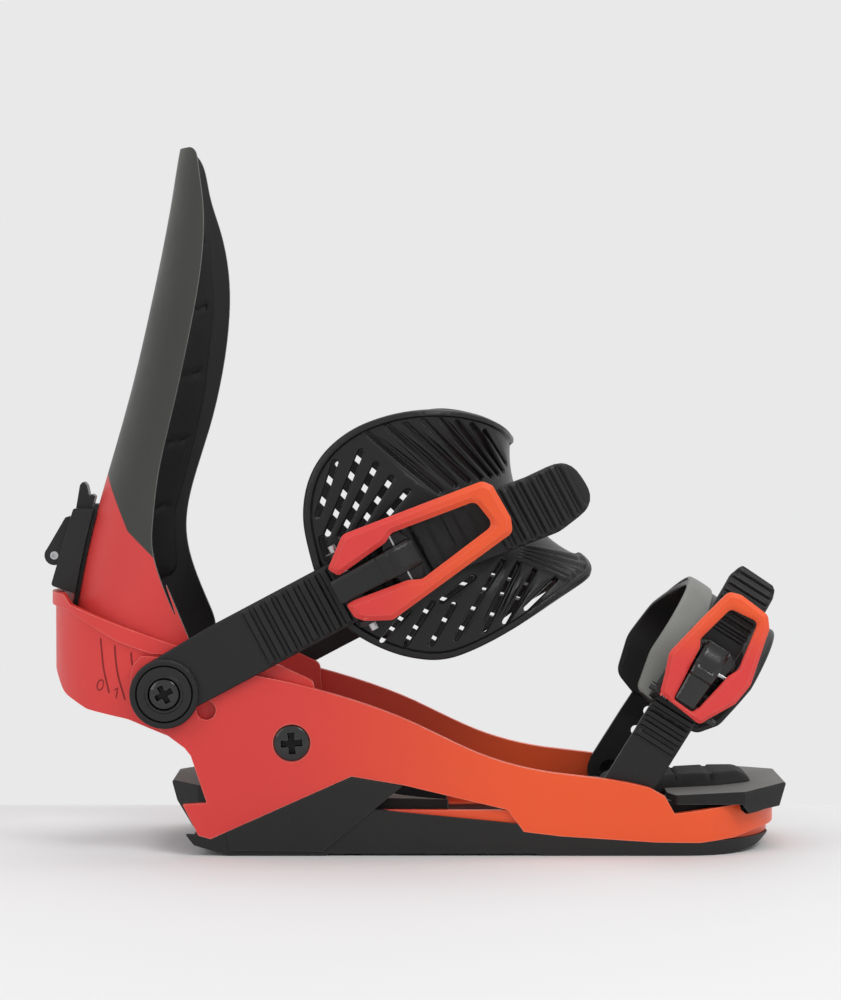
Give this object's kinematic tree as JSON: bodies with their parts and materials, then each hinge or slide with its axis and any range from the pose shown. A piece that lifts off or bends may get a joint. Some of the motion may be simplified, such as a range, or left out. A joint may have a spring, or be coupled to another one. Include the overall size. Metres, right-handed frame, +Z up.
{
  "type": "snowboard binding",
  "caption": "Strap-in snowboard binding, right foot: baseplate with mounting disc, heelcup, folding highback, ratcheting ankle and toe straps with levers that lift.",
  "frame": {"origin": "centre of the mounting disc on the board surface", "axes": "+X to the toe, -Y to the lateral side with the buckles, +Z up from the board"},
  "size_m": [0.3445, 0.1361, 0.3232],
  "materials": {
    "frame_red": "matte, red at the heel to orange at the toe",
    "chassis_black": "matte carbon-filled nylon",
    "footbed_grey": "matte EVA foam",
    "highback_shell": "matte nylon, red lower zone",
    "highback_lining": "matte foam",
    "buckle_black": "satin nylon",
    "strap_black": "matte urethane",
    "strap_grey": "matte soft urethane",
    "steel_black": "glossy black steel",
    "steel": "bright steel"
  },
  "bodies": {
    "base": {"side_frame": "frame_red", "lower_chassis": "chassis_black", "mount_disc": "chassis_black", "heel_footbed": "footbed_grey", "toe_footbed": "footbed_grey", "heel_cushion": "footbed_grey", "toe_cushion": "footbed_grey", "heelcup": "frame_red", "heelcup_screws": "steel_black", "heelcup_nuts": "steel", "strap_screws": "steel_black", "strap_nuts": "steel", "strap_discs": "buckle_black", "toe_strap_screws": "steel_black"},
    "highback": {"highback": "highback_shell", "highback_pad": "highback_lining", "lean_track": "buckle_black"},
    "lean_block": {"lean_block": "buckle_black", "lean_pin": "steel"},
    "lean_lever": {"lean_lever": "buckle_black"},
    "ankle_ladder": {"ankle_ladder": "strap_black"},
    "ankle_strap": {"ankle_medial_arm": "strap_black", "ankle_pad": "strap_black", "ankle_pad_screw": "steel_black", "ankle_buckle_base": "buckle_black", "ankle_buckle_rivets": "steel", "ankle_lever_axle": "steel", "ankle_release_pin": "steel", "ankle_lever_spring": "steel"},
    "ankle_lever": {"ankle_lever": "frame_red", "ankle_drive_pawl": "buckle_black"},
    "ankle_release": {"ankle_release_lever": "buckle_black"},
    "toe_ladder": {"toe_ladder": "strap_black"},
    "toe_strap": {"toe_medial_arm": "strap_black", "toe_cap": "strap_black", "toe_cap_band": "strap_grey", "toe_cap_screw": "steel_black", "toe_buckle_base": "buckle_black", "toe_buckle_rivets": "steel", "toe_lever_axle": "steel", "toe_release_pin": "steel", "toe_lever_spring": "steel"},
    "toe_lever": {"toe_lever": "frame_red", "toe_drive_pawl": "buckle_black"},
    "toe_release": {"toe_release_lever": "buckle_black"}
  },
  "joints": [
    {"name": "highback_fold", "type": "hinge", "parent": "base", "child": "highback", "pos_m": [-0.1407, 0, 0.074], "axis": [0, 1, 0], "range_deg": [0, 30]},
    {"name": "lean_slide", "type": "slide", "parent": "highback", "child": "lean_block", "axis": [0.2223, 0, 0.975], "range_m": [0, 0.007]},
    {"name": "lean_lever_flip", "type": "hinge", "parent": "lean_block", "child": "lean_lever", "pos_m": [-0.196, 0, 0.134], "axis": [0, -1, 0], "range_deg": [0, 110]},
    {"name": "ankle_strap_swing", "type": "hinge", "parent": "base", "child": "ankle_strap", "pos_m": [-0.1407, 0, 0.074], "axis": [0, 1, 0], "range_deg": [-5, 8]},
    {"name": "ankle_ladder_swing", "type": "hinge", "parent": "base", "child": "ankle_ladder", "pos_m": [-0.1407, 0, 0.074], "axis": [0, 1, 0], "range_deg": [-5, 8]},
    {"name": "ankle_lever_lift", "type": "hinge", "parent": "ankle_strap", "child": "ankle_lever", "pos_m": [-0.0552, -0.065, 0.1226], "axis": [-0.4695, 0, 0.8829], "range_deg": [-70, 0], "stiffness_Nm_per_rad": 0.05},
    {"name": "ankle_release_flip", "type": "hinge", "parent": "ankle_strap", "child": "ankle_release", "pos_m": [-0.03313, -0.0644, 0.13434], "axis": [-0.4695, 0, 0.8829], "range_deg": [0, 14], "stiffness_Nm_per_rad": 0.03},
    {"name": "toe_strap_swing", "type": "hinge", "parent": "base", "child": "toe_strap", "pos_m": [0.067, 0, 0.027], "axis": [0, 1, 0], "range_deg": [-10, 8]},
    {"name": "toe_ladder_swing", "type": "hinge", "parent": "base", "child": "toe_ladder", "pos_m": [0.067, 0, 0.027], "axis": [0, 1, 0], "range_deg": [-10, 8]},
    {"name": "toe_lever_lift", "type": "hinge", "parent": "toe_strap", "child": "toe_lever", "pos_m": [0.0935, -0.0556, 0.0691], "axis": [-0.8462, 0, 0.5329], "range_deg": [-70, 0], "stiffness_Nm_per_rad": 0.04},
    {"name": "toe_release_flip", "type": "hinge", "parent": "toe_strap", "child": "toe_release", "pos_m": [0.10416, -0.055, 0.08602], "axis": [-0.8462, 0, 0.5329], "range_deg": [0, 8], "stiffness_Nm_per_rad": 0.02}
  ],
  "couplings": [
    {"joint": "ankle_ladder_swing", "follows": "ankle_strap_swing", "ratio": 1},
    {"joint": "toe_ladder_swing", "follows": "toe_strap_swing", "ratio": 1}
  ]
}
